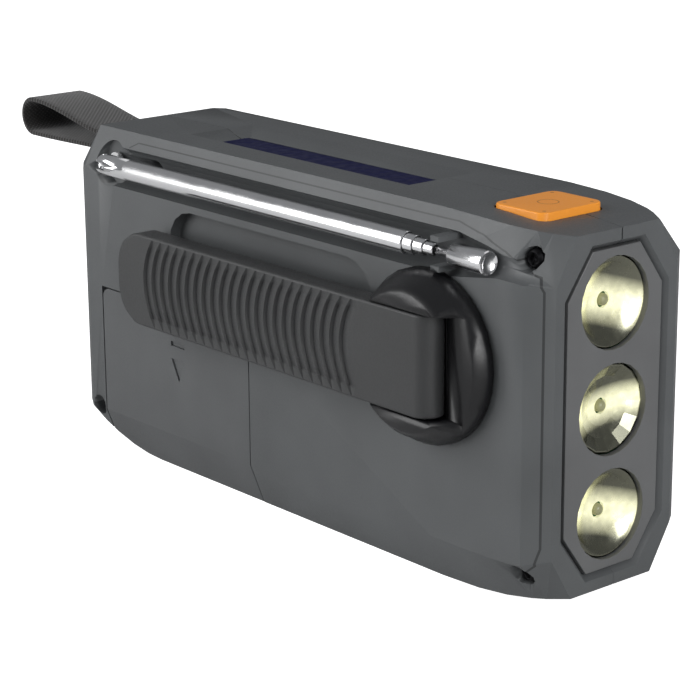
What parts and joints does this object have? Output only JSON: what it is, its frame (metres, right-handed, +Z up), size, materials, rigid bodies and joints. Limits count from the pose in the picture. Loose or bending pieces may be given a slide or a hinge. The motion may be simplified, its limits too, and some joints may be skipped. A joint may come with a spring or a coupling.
{
  "type": "wind-up emergency radio",
  "caption": "Portable radio and lamp that is charged by a folding side crank, with a sun panel, telescopic aerial, lamps in one end, loudspeaker and tuning dial.",
  "frame": {"origin": "middle of the flat base, on the surface that the radio stands on", "axes": "+X towards the lamps, -X towards the wrist strap, -Y the crank's side, +Y the dial and loudspeaker, +Z up"},
  "size_m": [0.1885, 0.0575, 0.0798],
  "materials": {
    "housing_grey": "fine moulded texture",
    "door_grey": "fine moulded texture",
    "lens_grey": "satin",
    "crank_black": "satin",
    "grip_grey": "fine moulded texture",
    "chrome": "polished",
    "steel": "plain",
    "brass": "plain",
    "gear_white": "smooth",
    "call_orange": "smooth",
    "cell_blue": "clear coated",
    "emitter_olive": "clear coated",
    "cup_silver": "metallised",
    "board_green": "lacquered",
    "window_clear": "clear",
    "pointer_red": "smooth",
    "pale_scale": "smooth",
    "webbing_black": "woven",
    "rubber_black": "smooth",
    "cone_black": "rough",
    "pack_green": "wrapped"
  },
  "bodies": {
    "housing": {"rear_shell": "housing_grey", "front_shell": "housing_grey", "case_screw_1": "steel", "case_screw_2": "steel", "case_screw_3": "steel", "case_screw_4": "steel", "battery_cell_1": "pack_green", "battery_cell_2": "pack_green", "battery_cell_3": "pack_green", "battery_contact_left": "steel", "battery_contact_right": "steel", "first_axle": "steel", "second_axle": "steel", "gear_frame": "gear_white", "generator_can": "steel", "lens_plate": "lens_grey", "reflector_top": "cup_silver", "reflector_middle": "cup_silver", "reflector_bottom": "cup_silver", "lamp_led_top": "emitter_olive", "lamp_led_middle": "emitter_olive", "lamp_led_bottom": "emitter_olive", "lamp_board": "board_green", "solar_panel": "cell_blue", "call_switch": "steel", "speaker_basket": "steel", "speaker_cone": "cone_black", "tuning_capacitor": "steel", "volume_control": "steel", "dial_window": "window_clear", "dial_scale": "pale_scale", "circuit_board": "board_green", "ferrite_rod": "cone_black", "wrist_strap": "webbing_black", "strap_pin": "steel", "charge_socket": "steel"},
    "crank": {"crank_hub": "crank_black", "hinge_pin": "steel", "hub_screw": "steel", "drive_gear": "gear_white"},
    "handle": {"crank_handle": "grip_grey"},
    "first_gear": {"first_wheel": "gear_white"},
    "second_gear": {"second_wheel": "gear_white"},
    "rotor": {"generator_rotor": "brass"},
    "door": {"battery_door": "door_grey"},
    "aerial_base": {"aerial_stud": "chrome"},
    "aerial_mast": {"aerial_knuckle": "chrome", "aerial_pin": "chrome", "aerial_tube_1": "chrome"},
    "aerial_section_2": {"aerial_tube_2": "chrome"},
    "aerial_section_3": {"aerial_tube_3": "chrome"},
    "aerial_section_4": {"aerial_tube_4": "chrome"},
    "aerial_tip": {"aerial_rod": "chrome"},
    "call": {"call_button": "call_orange"},
    "tuning": {"tuning_knob": "crank_black"},
    "volume": {"volume_knob": "crank_black"},
    "pointer": {"dial_pointer": "pointer_red"},
    "band": {"band_slider": "crank_black"},
    "lamp_switch": {"lamp_key": "call_orange"},
    "flap": {"socket_flap": "rubber_black"}
  },
  "joints": [
    {"name": "crank_turn", "type": "hinge", "parent": "housing", "child": "crank", "pos_m": [0.0485, -0.022, 0.0483], "axis": [0, -1, 0], "continuous": true},
    {"name": "handle_fold", "type": "hinge", "parent": "crank", "child": "handle", "pos_m": [0.052, -0.0269, 0.0483], "axis": [0, 0, 1], "range_deg": [0, 140]},
    {"name": "first_gear_turn", "type": "hinge", "parent": "housing", "child": "first_gear", "pos_m": [0.03015, -0.0125, 0.03545], "axis": [0, -1, 0], "continuous": true},
    {"name": "second_gear_turn", "type": "hinge", "parent": "housing", "child": "second_gear", "pos_m": [0.01257, -0.0085, 0.04016], "axis": [0, -1, 0], "continuous": true},
    {"name": "rotor_turn", "type": "hinge", "parent": "housing", "child": "rotor", "pos_m": [0.01007, -0.005, 0.05434], "axis": [0, -1, 0], "continuous": true},
    {"name": "aerial_raise", "type": "hinge", "parent": "housing", "child": "aerial_base", "pos_m": [-0.064, -0.02235, 0.0702], "axis": [0, -1, 0], "range_deg": [0, 90]},
    {"name": "aerial_fold", "type": "hinge", "parent": "aerial_base", "child": "aerial_mast", "pos_m": [-0.064, -0.02235, 0.0702], "axis": [0, 0, -1], "range_deg": [0, 90]},
    {"name": "aerial_extend_2", "type": "slide", "parent": "aerial_mast", "child": "aerial_section_2", "axis": [1, 0, 0], "range_m": [0, 0.078]},
    {"name": "aerial_extend_3", "type": "slide", "parent": "aerial_section_2", "child": "aerial_section_3", "axis": [1, 0, 0], "range_m": [0, 0.078]},
    {"name": "aerial_extend_4", "type": "slide", "parent": "aerial_section_3", "child": "aerial_section_4", "axis": [1, 0, 0], "range_m": [0, 0.078]},
    {"name": "aerial_extend_tip", "type": "slide", "parent": "aerial_section_4", "child": "aerial_tip", "axis": [1, 0, 0], "range_m": [0, 0.078]},
    {"name": "call_press", "type": "slide", "parent": "housing", "child": "call", "axis": [0, 0, -1], "range_m": [0, 0.0005], "stiffness_N_per_m": 1000},
    {"name": "lamp_key_press", "type": "slide", "parent": "housing", "child": "lamp_switch", "axis": [0, -1, 0], "range_m": [0, 0.0008], "stiffness_N_per_m": 800},
    {"name": "tuning_turn", "type": "hinge", "parent": "housing", "child": "tuning", "pos_m": [0.04, 0.022, 0.033], "axis": [0, 1, 0], "range_deg": [0, 180]},
    {"name": "pointer_travel", "type": "slide", "parent": "housing", "child": "pointer", "axis": [1, 0, 0], "range_m": [0, 0.036]},
    {"name": "volume_turn", "type": "hinge", "parent": "housing", "child": "volume", "pos_m": [0.006, 0.022, 0.033], "axis": [0, -1, 0], "range_deg": [0, 300]},
    {"name": "band_slide", "type": "slide", "parent": "housing", "child": "band", "axis": [1, 0, 0], "range_m": [0, 0.006]},
    {"name": "door_slide", "type": "slide", "parent": "housing", "child": "door", "axis": [0, 0, -1], "range_m": [0, 0.042]},
    {"name": "flap_open", "type": "hinge", "parent": "housing", "child": "flap", "pos_m": [-0.07645, -0.01, 0.04805], "axis": [0, -1, 0], "range_deg": [0, 90]}
  ],
  "couplings": [
    {"joint": "first_gear_turn", "follows": "crank_turn", "ratio": -3.6667},
    {"joint": "second_gear_turn", "follows": "crank_turn", "ratio": 12.222},
    {"joint": "rotor_turn", "follows": "crank_turn", "ratio": -36.667},
    {"joint": "pointer_travel", "follows": "tuning_turn", "m_per_rad": 0.011459}
  ]
}
